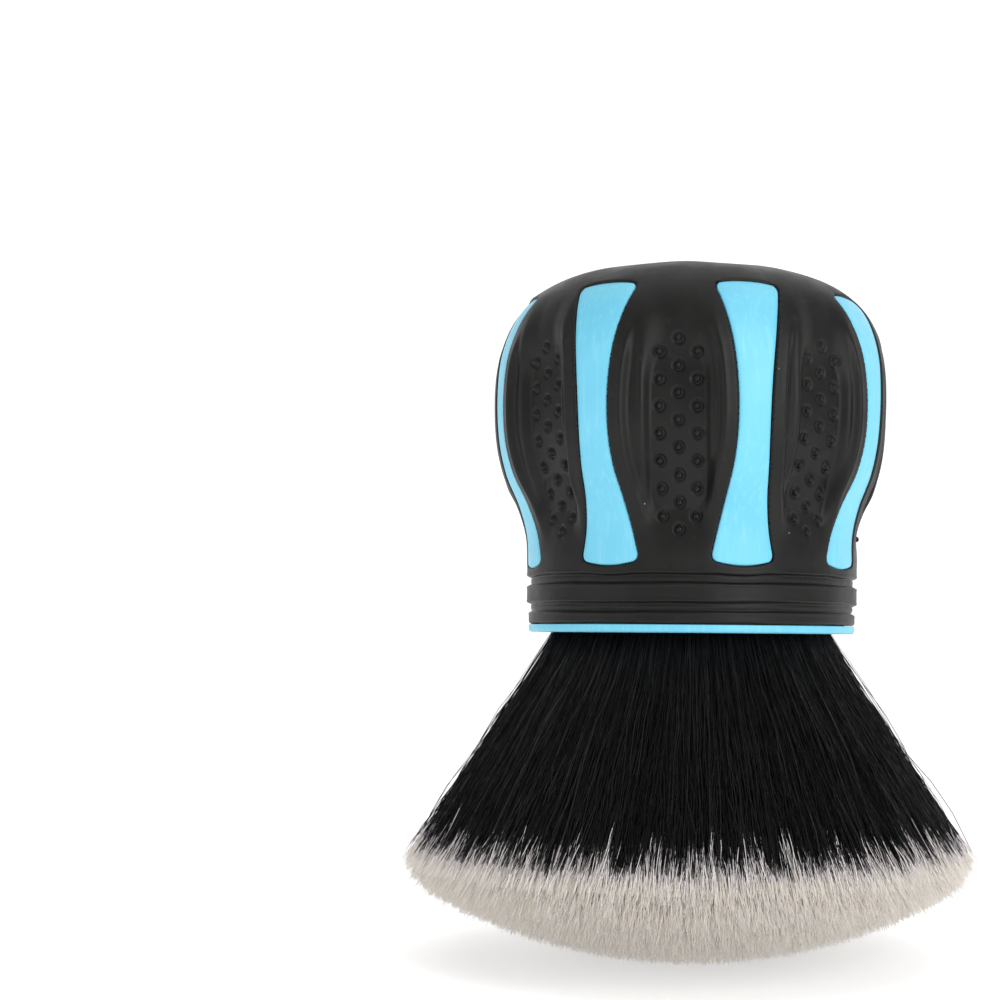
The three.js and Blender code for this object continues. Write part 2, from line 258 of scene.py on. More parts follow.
def sleeve_rows():
    """Lengths from the crown of the sleeve's rows, and the rows at the windows' two ends."""
    start = float(ENV.where_radius(OPENING_R))
    top_corner = ENV.where_height(WINDOW_TOP - corner_heights(CORNER))
    bottom_corner = ENV.where_height(WINDOW_BOTTOM + corner_heights(CORNER))[::-1]
    dots_top, dots_bottom = (float(ENV.where_height(z)) for z in (93.4, 63.2))
    crown_step, plain_step, dots_step, neck_step, collar_step = 0.55, 0.34, 0.2, 0.3, 0.17
    rows = np.concatenate([
        start + np.array([0, 0.08, 0.2, 0.4]),
        spaced(start + 0.7, TOP_LENGTH - 0.6, crown_step),
        TOP_LENGTH - EDGE_STEPS[::-1] * 1.2,
        top_corner[:-1],
        spaced(top_corner[-1], dots_top, plain_step),
        spaced(dots_top, dots_bottom, dots_step),
        spaced(dots_bottom, bottom_corner[0], neck_step),
        bottom_corner,
        BOTTOM_LENGTH + EDGE_STEPS,
        spaced(BOTTOM_LENGTH + 0.5, END_LENGTH - FILLET, collar_step),
        END_LENGTH - TO_EDGE,
    ])
    return rows, int(np.argmin(abs(rows - TOP_LENGTH))), int(np.argmin(abs(rows - BOTTOM_LENGTH)))


def sleeve_columns():
    """Places across one pitch: -1 to 1 is the lobe, and 1 to 2 runs on to the window's middle."""
    dots_end, edge_start = 0.52, 1 - 0.55 / LOBE_HALF
    half = np.concatenate([
        np.linspace(0, dots_end, 25)[:-1],
        np.linspace(dots_end, edge_start, 18),
        1 - TO_EDGE / LOBE_HALF,
    ])
    window = 1 + np.linspace(0, 1, 6)[1:]
    return np.concatenate([-window[:-1][::-1], -half[:0:-1], half, window])


def dot_places():
    """The raised dots of a lobe, in three staggered columns: place across it and height."""
    top, pitch, rows = 91.5, 3.82, 8
    column_gap, narrowing, narrows_from, narrows_to = 2.67, 0.3, 75, 66
    places = [(0, top - pitch * row) for row in range(rows)]
    for row in range(rows - 1):
        height = top - pitch * (row + 0.5)
        aside = column_gap - narrowing * float(smoothstep(-height, -narrows_from, -narrows_to))
        places += [(-aside, height), (aside, height)]
    return places


def dot_relief(across, height):
    """Height of the dots, with the shallow ring sunk round each."""
    relief = np.zeros_like(across)
    radius, rise, moat = 0.56, 0.5, 0.3
    for x, z in dot_places():
        distance = np.hypot(across - PANEL_SHIFT - x, height - z)
        relief += rise * np.sqrt(np.clip(1 - (distance / radius) ** 2, 0, 1)) ** 1.3
        relief -= moat * bell(distance, radius + 0.14, 0.17)
    return relief


def lobe_depth(across, lobe_half, z):
    """How deep the sleeve lies under the envelope on a lobe."""
    lip_rise, bead_rise, flattening, least_rubber = 0.09, 0.1, 0.4, 0.6
    from_edge = lobe_half - abs(across)
    beside_panel = abs(across - PANEL_SHIFT) - PANEL_HALF
    stepped = smoothstep(z, 64, 72) * (1 - smoothstep(z, 87.5, 95.5))
    sunk = smoothstep(z, 61, 71) * (1 - smoothstep(z, 88.5, 102))
    lip = lip_rise * bell(from_edge, LIP_WIDTH - 0.15, 0.4)
    terrace = TERRACE_DEPTH * smoothstep(from_edge, LIP_WIDTH - 0.1, LIP_WIDTH + 1.1)
    bead = bead_rise * bell(beside_panel, 0.55, 0.3)
    softness = 1 + 2.5 * smoothstep(z, 85, 94) + 1.8 * (1 - smoothstep(z, 63, 70))
    panel = (PANEL_DEPTH - TERRACE_DEPTH) * (1 - smoothstep(beside_panel, -softness, 0.35))
    flat = flattening * np.clip(1 - ((across - PANEL_SHIFT) / PANEL_HALF) ** 2, 0, 1)
    depth = stepped * (terrace - lip - bead) + sunk * (panel + flat)
    return np.minimum(depth, wall_depth(z) - least_rubber)


def collar_depth(z, azimuth):
    """Grooves and lower land of the collar."""
    lower_groove = GROOVE_HEIGHTS[1]
    crown, shoulder_rise = 0.12, 0.05
    depth = (NECK_R - LOWER_LAND_R) * smoothstep(-z, -lower_groove, -lower_groove + 1)
    for number, middle in enumerate(GROOVE_HEIGHTS):
        shift = wobble(azimuth, 20 + number, (2, 3, 5, 9), 0.06)
        width = GROOVE_HALF + wobble(azimuth, 30 + number, (3, 7, 11, 16), 0.04)
        across = abs(z - middle - shift) / width
        groove = GROOVE_DEPTH * (1 - smoothstep(across, 0.62, 1.0))
        depth = depth + groove * (1 - crown * bell(across, 0, 0.5))
        depth = depth - shoulder_rise * bell(across, 1.18, 0.14)
    return depth


def edge_drop(distance):
    """How far the surface falls at this distance from a rounded edge."""
    return EDGE_FALL * np.clip(1 - distance / FILLET, 0, 1) ** 2


def ragged(height, seed):
    """Fine unevenness of a window's trimmed edge, along its height."""
    waves = (31, 47, 73, 101, 149)
    return wobble(height * 2 * math.pi / (WINDOW_TOP - WINDOW_BOTTOM), seed, waves, 0.09)


def crown_relief(radius, azimuth):
    """The lobes' ends swell a little on the crown, and the strips' ends leave shallow valleys."""
    over_lobe = 0.5 + 0.5 * np.cos(LOBES * (azimuth - FRONT))
    return (0.25 * over_lobe - 0.32) * bell(radius, 14.5, 4.5)


def opening_shift(radius, azimuth):
    """Moves the crown opening's edge in at the lobes and out at the strips."""
    fade = 1 - smoothstep(radius, OPENING_R, 16)
    return -SCALLOP * np.cos(LOBES * (azimuth - FRONT)) * fade


def sleeve_surface(rows, columns, in_window):
    """Points and normals of the sleeve's outside, one row of points for each row, all the way round."""
    radius, height, normal_r, normal_z = (v[:, None] for v in ENV.at(rows))
    end_r = np.where(rows < TOP_LENGTH, ENV.at(TOP_LENGTH)[0], NECK_R)
    beyond_half = END_HALF * radius[:, 0] / end_r
    open_half = np.where(in_window, window_half(height[:, 0]), beyond_half)[:, None]
    half_pitch = radius * PITCH / 2
    closed_half = half_pitch - open_half
    place_in = np.abs(columns)[None, :]
    in_opening = closed_half + (place_in - 1) * open_half
    across = np.where(place_in <= 1, place_in * closed_half, in_opening)
    across = across * np.sign(columns)[None, :]

    beyond = np.maximum(TOP_LENGTH - rows, rows - BOTTOM_LENGTH)[:, None]
    from_middle = half_pitch - abs(across)
    from_window = np.where(
        beyond < 0,
        from_middle - open_half,
        np.hypot(np.maximum(from_middle - END_HALF, 0), np.maximum(beyond, 0)),
    )
    upper_half = rows < (TOP_LENGTH + BOTTOM_LENGTH) / 2
    bow = ARCH * np.clip(1 - (from_middle / END_HALF) ** 2, 0, 1)
    bow = bow * np.exp(-np.maximum(beyond, 0) / ARCH_FADE)
    bow = np.where(place_in >= 1, bow, 0) * np.where(upper_half, 1, -1)[:, None]
    at_edge = bell(place_in, 1, 0.04) * (beyond < 0)
    lobe_half = half_pitch - waist_half(height)

    points, normals = [], []
    for lobe in range(LOBES):
        right_flash, left_flash = ragged(height, 60 + 2 * lobe), ragged(height, 61 + 2 * lobe)
        flash = np.where(columns > 0, right_flash, -left_flash)
        azimuth = FRONT + lobe * PITCH + (across + flash * at_edge) / radius
        depth = lobe_depth(across, lobe_half, height)
        depth = depth + collar_depth(height, azimuth) * (height < NECK_Z)
        sunk = depth * (height > NECK_Z)
        shown_r = (radius - sunk * normal_r) / radius
        depth = depth - dot_relief(across * shown_r, height - sunk * normal_z)
        depth = depth + edge_drop(from_window) + edge_drop(END_LENGTH - rows)[:, None]
        depth = depth + edge_drop((rows - rows[0])[:, None] * 0.75) * 1.6
        depth = depth - crown_relief(radius, azimuth)
        r = radius - depth * normal_r + opening_shift(radius, azimuth)
        z = height - depth * normal_z + bow * abs(normal_r)
        z = z + wobble(azimuth, 41, (3, 5, 8, 13, 21), 0.05) * bell(rows[:, None], END_LENGTH, 0.8)
        points.append(place(r, z, azimuth))
        normals.append(place(normal_r + 0 * r, normal_z + 0 * r, azimuth))
    return np.concatenate(points, axis=1), np.concatenate(normals, axis=1)


def grip_sleeve():
    rows, top_row, bottom_row = sleeve_rows()
    columns = sleeve_columns()
    row_numbers = np.arange(len(rows))
    in_window = (row_numbers >= top_row) & (row_numbers <= bottom_row)
    grid, normals = sleeve_surface(rows, columns, in_window)
    total = grid.shape[1]
    place_in = np.abs(np.tile(columns, LOBES))
    over_window = (place_in >= 1 - TINY) & (np.roll(place_in, -1) >= 1 - TINY)
    mask = np.ones((len(rows) - 1, total), bool)
    mask[top_row:bottom_row, over_window] = False
    quads = [grid_quads(len(rows), total, mask)]
    flat, flat_normals = grid.reshape(-1, 3), normals.reshape(-1, 3)
    extra = []

    def wall(loop, offset):
        quads.append(skirt(loop, len(flat) + sum(len(e) for e in extra)))
        extra.append(flat[loop] + offset)

    per_lobe = len(columns)
    left = int(np.argmin(abs(columns - 1)))
    right = int(np.argmin(abs(columns + 1)))
    side_rows = np.arange(top_row, bottom_row + 1)
    for lobe in range(LOBES):
        first = lobe * per_lobe + left
        last = lobe * per_lobe + per_lobe + right
        over = np.arange(first, last + 1) % total
        loop = np.concatenate([
            side_rows[:-1] * total + first,
            bottom_row * total + over[:-1],
            side_rows[:0:-1] * total + last % total,
            top_row * total + over[:0:-1],
        ])
        wall(loop, -WINDOW_WALL * flat_normals[loop])
    wall(np.arange(total), np.array([0, 0, -END_WALL]))
    rim = ((len(rows) - 1) * total + np.arange(total))[::-1]
    wall(rim, -END_WALL * flat_normals[rim] * [1, 1, 0])
    return new_object("grip_sleeve_rubber", np.concatenate([flat, *extra]), np.concatenate(quads))


# ---- Handle core ------------------------------------------------------------------------------

STRIP_SUNK = 0.15
STRIP_ROOT = 3.2  # how far under the envelope a strip's sides reach, into the core's wall
CORE_SEGMENTS = 192
CORE_AZIMUTH = FRONT + np.arange(CORE_SEGMENTS) * 2 * math.pi / CORE_SEGMENTS


def strip_patch():
    """One strip's face, as place across it, height and depth under the envelope."""
    top, bottom = WINDOW_TOP - STRIP_CLEARANCE, WINDOW_BOTTOM + STRIP_CLEARANCE
    corner = CORNER - STRIP_CLEARANCE
    rounding, side_width, end_width, most = 0.22, 0.26, 0.3, 0.3
    heights = np.concatenate([
        top - corner_heights(corner)[:-1],
        np.linspace(top - corner, bottom + corner, 90)[:-1],
        (bottom + corner_heights(corner))[::-1],
    ])
    edge = np.array([0.04, 0.12, side_width])
    inner = np.linspace(1, 0, 9)[1:] * (1 - 0.5 / HEAD_HALF)
    places = np.concatenate([1 - edge / HEAD_HALF, inner])
    places = np.concatenate([[-1], -places, places[-2::-1], [1]])
    half = window_half(heights, STRIP_CLEARANCE)[:, None]
    across = places[None, :] * half
    from_side = half - abs(across)
    from_end = np.minimum(top - heights, heights - bottom)[:, None]
    drop = STRIP_SUNK + rounding * np.clip(1 - from_side / side_width, 0, 1) ** 2
    drop = drop + rounding * np.clip(1 - from_end / end_width, 0, 1) ** 2 * (from_side > edge[0])
    bowed = ARCH * (1 - places[None, :] ** 2) * np.exp(-from_end / ARCH_FADE)
    bowed = bowed * np.where(heights > (top + bottom) / 2, 1, -1)[:, None]
    return across, heights[:, None] + bowed, np.minimum(drop, STRIP_SUNK + most)


def core_profile():
    """Radius and height of the core's body, from the crown down the outside and up the bore."""
    lengths = np.concatenate([np.linspace(3, END_LENGTH - 9, 40), [END_LENGTH - 4]])
    r, z, normal_r, normal_z = ENV.at(lengths)
    depth = wall_depth(z)
    outside = np.stack([r - depth * normal_r, z - depth * normal_z], -1)
    gap_to_collar, lower_round, upper_round, bore = 0.12, 0.45, 0.15, 22.4
    rim_top = COLLAR_BOTTOM - gap_to_collar
    arc = np.linspace(0, math.pi / 2, 7)
    lower = np.stack([
        LOWER_LAND_R - lower_round + lower_round * np.cos(arc),
        RIM_BOTTOM + lower_round - lower_round * np.sin(arc),
    ], -1)
    upper = np.stack([
        LOWER_LAND_R - upper_round + upper_round * np.sin(arc),
        rim_top - upper_round + upper_round * np.cos(arc),
    ], -1)
    inside = [
        (bore + 0.2, RIM_BOTTOM), (bore, RIM_BOTTOM + 0.2), (bore, 68.3),
        (21.4, 91), (14, 98), (0.01, 99),
    ]
    return np.vstack([outside, [(outside[-1, 0], rim_top)], upper, lower, inside])


def core_body():
    """The core's closed wall and rim; the rim's lower edge is slightly uneven."""
    rim_height, rim_inside = 0.6, 23
    profile = core_profile()
    azimuth = CORE_AZIMUTH[None, :] + 0 * profile[:, :1]
    body = place(profile[:, :1], profile[:, 1:] + 0 * CORE_AZIMUTH, azimuth)
    ripple = wobble(CORE_AZIMUTH, 52, (4, 7, 12, 19), 0.02)
    radius = np.hypot(body[:, :, 0], body[:, :, 1])
    body[:, :, 2] += ripple * (body[:, :, 2] < RIM_BOTTOM + rim_height) * (radius > rim_inside)
    return body.reshape(-1, 3), grid_quads(len(profile), CORE_SEGMENTS)


def core_strips():
    """The eight strips seen through the windows, each with sides that go down into the wall."""
    across, heights, drop = strip_patch()
    r, z, normal_r, normal_z = ENV.at(ENV.where_height(heights))
    rows, columns = across.shape
    loop = np.concatenate([
        np.arange(rows - 1) * columns,
        (rows - 1) * columns + np.arange(columns - 1),
        np.arange(rows - 1, 0, -1) * columns + columns - 1,
        np.arange(columns - 1, 0, -1),
    ])[::-1]
    quads = np.concatenate([grid_quads(rows, columns, closed=False), skirt(loop, rows * columns)])
    strips = []
    for strip in range(LOBES):
        around = FRONT + (strip + 0.5) * PITCH + across / r
        face = place(r - drop * normal_r, z - drop * normal_z, around)
        rooted = place(r - STRIP_ROOT * normal_r, z - STRIP_ROOT * normal_z, around)
        strips.append((np.concatenate([face.reshape(-1, 3), rooted.reshape(-1, 3)[loop]]), quads))
    return strips


def crown_disc():
    """The core's flat end in the sleeve's opening, which it follows just inside the edge."""
    top, clearance = 105.45, 0.2
    edge_r = OPENING_R - clearance + opening_shift(np.array(OPENING_R), CORE_AZIMUTH)
    shares = np.array([0.001, 0.25, 0.5, 0.75, 0.9, 0.97, 0.993, 1.0, 1.0])
    levels = top - np.array([0, 0, 0, 0.005, 0.02, 0.04, 0.08, 0.2, 3.0])
    azimuth = CORE_AZIMUTH + 0 * shares[:, None]
    disc = place(shares[:, None] * edge_r, levels[:, None] + 0 * edge_r, azimuth)
    return disc.reshape(-1, 3), grid_quads(len(shares), CORE_SEGMENTS)


def handle_core():
    return new_object("handle_core_plastic", *joined([core_body(), *core_strips(), crown_disc()]))


# ---- Filaments --------------------------------------------------------------------------------

CUP_BOTTOM = node_heights("tuft_cup")[0]
ROOT_TOP = node_heights("filament_lock_outer_01")[1]
ROOT_R = 20.6
FLARE_R = 21.6
FLARE_SLOPE = math.tan(math.radians(33.5))
DRAWN_IN = 0.7  # how much narrower than straight the flare is below the rim
DOME_R, FLAT_R = 78.0, 8.0
EDGE_RISE = 3.6  # how much higher than the dome the outermost tips end

FILAMENT_R = 0.058
CREAM_LENGTH, CREAM_SHORTER = 6.8, 1.9  # on the axis, and how much less at the outside
CREAM_SPREAD, CREAM_LEAST, CREAM_MOST = 1.6, 3.8, 12
GREY_LENGTH, PALE_LENGTH, BLUSH_SHARE = 0.7, 1.6, 0.45
CLUMP, CLUMP_SPREAD, CLUMP_PULL = 11, 1.2, 0.42
LEAN, STRAY_LEAN, STRAY_OUT, STRAY_CURL = 0.013, 0.022, 0.014, 0.9
WAVES = ((10.5, 0.2), (16.0, 0.34), (30.0, 0.4))  # wavelength and swing
SIDES = 3

BLACKS, GREY, PALE, BLUSH, CREAMS = (0, 1, 2), 3, 4, 5, (6, 7, 8)


def bundle_radius(z):
    """Radius of the bundle: straight in the cup, then along the flare, a little drawn in."""
    z = np.asarray(z, float)
    below = FLARE_R + (RIM_BOTTOM - z) * FLARE_SLOPE - DRAWN_IN * smoothstep(RIM_BOTTOM - z, 0, 8)
    inside = ROOT_R + (FLARE_R - ROOT_R) * (CUP_BOTTOM - z) / (CUP_BOTTOM - RIM_BOTTOM)
    return np.where(z >= CUP_BOTTOM, ROOT_R, np.where(z <= RIM_BOTTOM, below, inside))


def dome_height(r):
    """Height of the face: a dome with its middle cut off flat at the floor."""
    dome = DOME_R - np.sqrt(DOME_R**2 - np.minimum(r, DOME_R - 1) ** 2)
    return np.maximum(dome - (DOME_R - math.sqrt(DOME_R**2 - FLAT_R**2)), 0)


def tip_height(share):
    """Height at which filaments of this share of the radius end: a dome with a rounded edge."""
    rounded = EDGE_RISE * np.clip((share - 0.85) / 0.15, 0, 1) ** 2
    z = np.zeros_like(share)
    for _ in range(25):
        z = dome_height(share * bundle_radius(z)) + rounded
    return z


def scattered_roots(rng, count, inner, outer, start, turn, outward):
    """Random roots of a lock, as share of the radius and azimuth; outward above 1 crowds its outside."""
    fill = 1 - (1 - rng.random(count)) ** outward
    share = np.sqrt(inner**2 + (outer**2 - inner**2) * fill)
    return share, start + turn * rng.random(count)


def nearest_clump(rng, share, azimuth):
    """Roots in the unit disc, the middle of each one's clump, and the clump's number."""
    roots = np.stack([share * np.cos(azimuth), share * np.sin(azimuth)], -1)
    picked = rng.choice(len(roots), max(len(roots) // CLUMP, 1), replace=False)
    tree = kdtree.KDTree(len(picked))
    for number, index in enumerate(picked):
        tree.insert((*roots[index], 0), number)
    tree.balance()
    clump = np.array([tree.find((*root, 0))[1] for root in roots])
    return roots, roots[picked][clump], clump


def filament_lines(rng, count, region, levels, strays):
    """Points along each filament from its root to its tip, and the way out from the axis at its root."""
    share, azimuth = scattered_roots(rng, count, *region)
    roots, middles, clump = nearest_clump(rng, share, azimuth)
    clump_shift = rng.normal(0, CLUMP_SPREAD, clump.max() + 1)[clump]
    tip = tip_height(share) + np.abs(rng.normal(0, 0.35, count)) - 0.15
    tip = np.maximum(tip, 0.02)
    slant = np.cos(np.arctan(share * FLARE_SLOPE))
    wanted = CREAM_LENGTH - CREAM_SHORTER * share**2
    cream = rng.normal(wanted, CREAM_SPREAD, count) + clump_shift
    cream = np.clip(cream, CREAM_LEAST, CREAM_MOST) * slant
    turning = tip + cream
    black = [ROOT_TOP + (turning - ROOT_TOP) * level for level in levels]
    light = [turning - GREY_LENGTH, turning - PALE_LENGTH, tip + cream * BLUSH_SHARE, tip]
    z = np.stack(black + light, -1)
    flared = np.clip((CUP_BOTTOM - z) / (CUP_BOTTOM - tip[:, None]), 0, 1)

    gather = (CLUMP_PULL * np.sin(math.pi * np.clip(flared * 0.82, 0, 1)))[:, :, None]
    centre = roots[:, None, :] * (1 - gather) + middles[:, None, :] * gather
    xy = centre * bundle_radius(z)[:, :, None]
    fall = np.maximum(CUP_BOTTOM - z, 0)
    lean = rng.normal(0, LEAN, (count, 2))
    stray = rng.random(count) < strays
    lean[stray] = rng.normal(0, STRAY_LEAN, (int(stray.sum()), 2))
    outward_dir = np.stack([np.cos(azimuth), np.sin(azimuth)], -1)
    lean += outward_dir * (np.abs(rng.normal(0, STRAY_OUT, count)) * stray)[:, None]
    xy += lean[:, None, :] * fall[:, :, None]
    curl = outward_dir * (np.abs(rng.normal(0, STRAY_CURL, count)) * stray)[:, None]
    curled = np.clip(flared * rng.uniform(0.8, 1.6, (count, 1)), 0, 1)
    xy += curl[:, None, :] * np.sin(math.pi * curled)[:, :, None]
    for wave, size in WAVES:
        phase = rng.uniform(0, 2 * math.pi, (count, 1, 2))
        length = wave * rng.uniform(0.8, 1.25, (count, 1, 1))
        swing = size * rng.normal(1, 0.3, (count, 1, 1)) * flared[:, :, None] ** 0.6
        xy += swing * np.sin(2 * math.pi * z[:, :, None] / length + phase)
    return np.concatenate([xy, z[:, :, None]], -1), outward_dir


def filament_piece(name, seed, count, region, levels, strays):
    """One lock's filaments as three-sided tubes whose faces carry the colour along each filament."""
    rng = np.random.default_rng(seed)
    line, outward_dir = filament_lines(rng, count, region, levels, strays)
    rings = line.shape[1]
    along = np.gradient(line, axis=1)
    along /= np.linalg.norm(along, axis=2, keepdims=True)
    side = np.cross(along, outward_dir[:, None, :].repeat(rings, 1) @ np.eye(2, 3))
    side /= np.maximum(np.linalg.norm(side, axis=2, keepdims=True), TINY)
    front = np.cross(along, side)
    thickness = FILAMENT_R * rng.uniform(0.8, 1.2, (count, 1)) * np.ones((count, rings))
    thickness[:, -4:] *= [1.0, 0.95, 0.8, 0.42]
    corners = np.arange(SIDES)[None, None, :, None] * 2 * math.pi / SIDES
    turned = rng.uniform(0, 2 * math.pi, (count, 1, 1, 1)) + corners
    offset = np.cos(turned) * side[:, :, None, :] + np.sin(turned) * front[:, :, None, :]
    points = line[:, :, None, :] + thickness[:, :, None, None] * offset

    ring, corner = np.meshgrid(np.arange(rings - 1), np.arange(SIDES), indexing="ij")
    here = ring * SIDES + corner
    beside = ring * SIDES + (corner + 1) % SIDES
    tube = np.stack([here, beside, beside + SIDES, here + SIDES], -1).reshape(-1, 4)
    quads = (np.arange(count)[:, None, None] * rings * SIDES + tube[None]).reshape(-1, 4)
    piece = new_object(name, points.reshape(-1, 3), quads)

    shade = np.empty((count, rings - 1), np.int32)
    shade[:, :-4] = rng.choice(BLACKS, (count, 1), p=(0.5, 0.32, 0.18))
    shade[:, -4] = GREY
    shade[:, -3] = PALE
    shade[:, -2] = BLUSH
    shade[:, -1] = rng.choice(CREAMS, count, p=(0.4, 0.35, 0.25))
    per_face = np.repeat(shade, SIDES, axis=1).ravel().astype(np.int32)
    piece.data.polygons.foreach_set("material_index", per_face)
    return piece


def filament_bundle():
    """A piece of filaments for each lock: one in the centre, six round it and twelve outside."""
    fine = (0, 0.19, 0.31, 0.43, 0.55, 0.67, 0.78, 0.89, 1)
    plain = (0, 0.25, 0.6, 1)
    pieces = []

    def lock(node, count, region, levels, strays):
        name = node.replace("filament_lock", "filaments")
        piece = filament_piece(name, 100 + len(pieces), count, region, levels, strays)
        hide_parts(node)
        pieces.append(piece)

    def ring_of_locks(label, locks, count, inner, outer, outward, levels, strays):
        turn = 2 * math.pi / locks
        for number in range(locks):
            start = FRONT + (number - 0.5) * turn
            node = f"filament_lock_{label}_{number + 1:02d}"
            lock(node, count, (inner, outer, start, turn, outward), levels, strays)

    lock("filament_lock_centre", 2200, (0, 1 / 3, 0, 2 * math.pi, 1), plain, 0)
    ring_of_locks("middle", 6, 2000, 1 / 3, 2 / 3, 1, plain, 0)
    ring_of_locks("outer", 12, 2600, 2 / 3, 0.978, 1.7, fine, 0.05)
    return pieces


# ---- Materials --------------------------------------------------------------------------------


class Material:
    """A Principled material with short calls for its nodes."""

    def __init__(self, name, colour, roughness, specular=0.5):
        self.data = bpy.data.materials.new(name)
        self.data.use_nodes = True
        self.tree = self.data.node_tree
        self.shader = self.tree.nodes["Principled BSDF"]
        self.shader.inputs["Base Color"].default_value = (*colour, 1)
        self.shader.inputs["Roughness"].default_value = roughness
        self.shader.inputs["Specular IOR Level"].default_value = specular
        self.data.diffuse_color = (*colour, 1)

    def node(self, kind, **settings):
        """A new node, with settings that are either its properties or values of its inputs."""
        made = self.tree.nodes.new(kind)
        for key, value in settings.items():
            if key in made.bl_rna.properties:
                setattr(made, key, value)
            else:
                made.inputs[key].default_value = value
        return made

    def link(self, source, target):
        self.tree.links.new(source, target)

    def place(self, scale=(1, 1, 1)):
        """Object coordinates in millimetres, stretched by scale."""
        coordinates = self.node("ShaderNodeTexCoord")
        mapping = self.node("ShaderNodeMapping")
        mapping.inputs["Scale"].default_value = tuple(s / MM for s in scale)
        self.link(coordinates.outputs["Object"], mapping.inputs["Vector"])
        return mapping.outputs["Vector"]

    def noise(self, size, detail, scale=(1, 1, 1)):
        """Noise whose features are about size millimetres across."""
        made = self.node("ShaderNodeTexNoise", Scale=1 / size, Detail=detail, Roughness=0.55)
        self.link(self.place(scale), made.inputs["Vector"])
        return made.outputs["Fac"]

    def clouds(self, size, detail, scale=(1, 1, 1)):
        """Noise with more contrast."""
        return self.ramp(self.noise(size, detail, scale), (0.35, 0.0), (0.65, 1.0))

    def ramp(self, source, *stops):
        """Grey levels along a source, each stop given as its position and its level."""
        made = self.node("ShaderNodeValToRGB")
        elements = made.color_ramp.elements
        while len(elements) < len(stops):
            elements.new(0.5)
        for element, (position, level) in zip(elements, stops):
            element.position = position
            element.color = (level, level, level, 1)
        self.link(source, made.inputs["Fac"])
        return made.outputs["Color"]

    def mix(self, factor, first, second):
        """A colour between two, each a socket or a plain colour, by a factor's socket."""
        made = self.node("ShaderNodeMix", data_type="RGBA")
        self.link(factor, made.inputs[0])
        for value, socket in ((first, made.inputs[6]), (second, made.inputs[7])):
            if hasattr(value, "is_output"):
                self.link(value, socket)
            else:
                socket.default_value = (*value, 1)
        return made.outputs[2]

    def bump(self, source, depth, after=None):
        """Bump of a depth in millimetres, on top of an earlier bump."""
        made = self.node("ShaderNodeBump", Strength=1.0, Distance=depth * MM)
        self.link(source, made.inputs["Height"])
        if after is not None:
            self.link(after, made.inputs["Normal"])
        return made.outputs["Normal"]

    def colour(self, source):
        self.link(source, self.shader.inputs["Base Color"])

    def roughness(self, source, low, high):
        """Roughness that runs from low to high over the source's middle."""
        self.link(self.ramp(source, (0.3, low), (0.7, high)), self.shader.inputs["Roughness"])

    def normal(self, source):
        self.link(source, self.shader.inputs["Normal"])


def specks(material, spacing, size):
    """Tiny scattered spots, 1 on a spot and 0 elsewhere."""
    cells = material.node("ShaderNodeTexVoronoi", Scale=1 / spacing, Randomness=1.0)
    material.link(material.place(), cells.inputs["Vector"])
    return material.ramp(cells.outputs["Distance"], (size / spacing * 0.6, 1.0), (size / spacing, 0.0))


def rubber_material():
    m = Material("grip_rubber", (0.0065, 0.0065, 0.006), 0.5, specular=0.27)
    cloudy = m.mix(m.clouds(7, 4), (0.0045, 0.0045, 0.0042), (0.0085, 0.0082, 0.0076))
    dust = m.ramp(m.noise(2.2, 5), (0.62, 0.0), (0.78, 0.3))
    dusty = m.mix(dust, cloudy, (0.04, 0.038, 0.034))
    m.colour(m.mix(specks(m, 5.5, 0.16), dusty, (0.3, 0.29, 0.27)))
    m.roughness(m.noise(4, 4), 0.36, 0.5)
    waviness = m.bump(m.noise(1.6, 3), 0.03)
    m.normal(m.bump(m.noise(0.12, 2), 0.012, waviness))
    return m.data


def plastic_material():
    m = Material("core_plastic", (0.2, 0.7, 0.9), 0.36, specular=0.45)
    streaks = m.ramp(m.noise(0.5, 3, scale=(1, 1, 0.03)), (0.5, 0.0), (0.72, 0.55))
    cloudy = m.mix(m.clouds(9, 3), (0.165, 0.62, 0.84), (0.19, 0.66, 0.87))
    m.colour(m.mix(streaks, cloudy, (0.28, 0.73, 0.9)))
    m.roughness(m.noise(3, 3), 0.32, 0.46)
    waviness = m.bump(m.noise(2.5, 2), 0.012)
    m.normal(m.bump(m.noise(0.45, 2, scale=(1, 1, 0.05)), 0.01, waviness))
    return m.data


def filament_materials():
    """Finishes along a filament: three blacks, the three lighter steps of the turn, three creams."""
    finishes = [
        ("filament_black_1", (0.0035, 0.0037, 0.0045), 0.42, 0.16),
        ("filament_black_2", (0.007, 0.0072, 0.008), 0.38, 0.22),
        ("filament_black_3", (0.013, 0.013, 0.014), 0.34, 0.32),
        ("filament_grey", (0.12, 0.112, 0.11), 0.5, 0.3),
        ("filament_pale", (0.82, 0.76, 0.78), 0.5, 0.3),
        ("filament_blush", (0.98, 0.92, 0.9), 0.5, 0.3),
        ("filament_cream_1", (0.99, 0.94, 0.88), 0.5, 0.3),
        ("filament_cream_2", (0.99, 0.92, 0.83), 0.5, 0.3),
        ("filament_cream_3", (0.99, 0.965, 0.93), 0.5, 0.3),
    ]
    made = []
    for name, colour, roughness, specular in finishes:
        # The grain is a very fine displacement, and the finish's own sockets hold plain values.
        m = Material(name, colour, roughness, specular=specular)
        grain = m.node("ShaderNodeDisplacement", Scale=0.004 * MM, Midlevel=0.5)
        m.link(m.noise(0.2, 2, scale=(1, 1, 0.3)), grain.inputs["Height"])
        output = next(n for n in m.tree.nodes if n.type == "OUTPUT_MATERIAL")
        m.link(grain.outputs["Displacement"], output.inputs["Displacement"])
        made.append(m.data)
    return made


